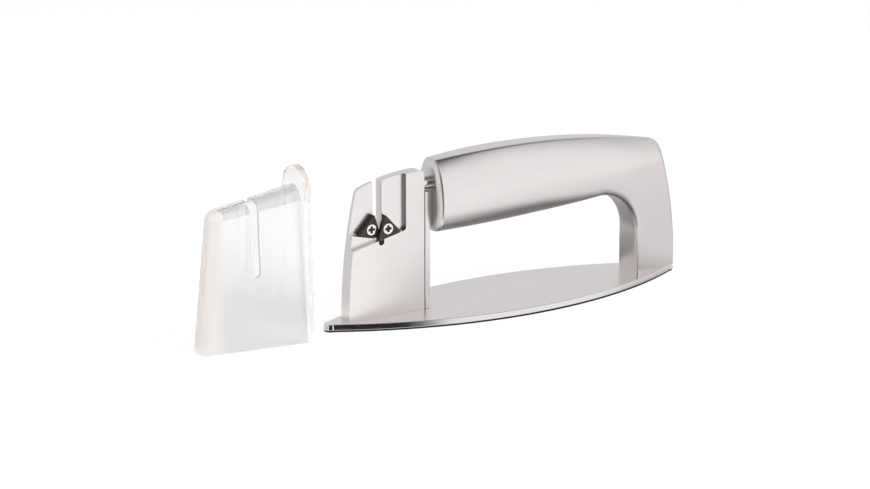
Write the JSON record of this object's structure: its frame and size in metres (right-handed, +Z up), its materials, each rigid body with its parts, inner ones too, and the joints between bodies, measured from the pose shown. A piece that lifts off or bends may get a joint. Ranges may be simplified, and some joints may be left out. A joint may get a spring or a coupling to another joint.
{
  "type": "knife sharpener",
  "caption": "Pull-through knife sharpener: steel plate with a knife slot and carbide inserts, arched handle on a boat-shaped base, and a clear guard cover standing beside it.",
  "frame": {"origin": "centre of the underside of the base's rubber sheet, on the surface that it stands on", "axes": "+X along the base from the sharpening plate towards the handle's leg, +Y across the base to the far side, +Z up"},
  "size_m": [0.2643, 0.0568, 0.08],
  "materials": {
    "satin_steel": "satin",
    "polished_steel": "polished",
    "rubber": "matte",
    "carbide": "ground",
    "plated_screw": "bright plated",
    "clear_plastic": "lightly frosted, translucent"
  },
  "bodies": {
    "sharpener": {"base_plate": "satin_steel", "non_slip_pad": "rubber", "sharpening_plate": "satin_steel", "right_insert": "carbide", "left_insert": "carbide", "left_insert_shim": "carbide", "right_insert_screw": "plated_screw", "left_insert_screw": "plated_screw", "left_insert_nut": "plated_screw", "handle_post": "polished_steel", "handle_bush": "polished_steel", "handle_stud": "polished_steel", "handle_end_cap": "polished_steel", "handle_body": "satin_steel", "plate_screw_left": "plated_screw", "plate_screw_right": "plated_screw", "leg_screw_left": "plated_screw", "leg_screw_right": "plated_screw"},
    "cover": {"guard_cover": "clear_plastic"}
  },
  "joints": [
    {"name": "cover_lift", "type": "slide", "parent": "sharpener", "child": "cover", "axis": [0, 0, 1], "range_m": [0, 0.09]}
  ]
}
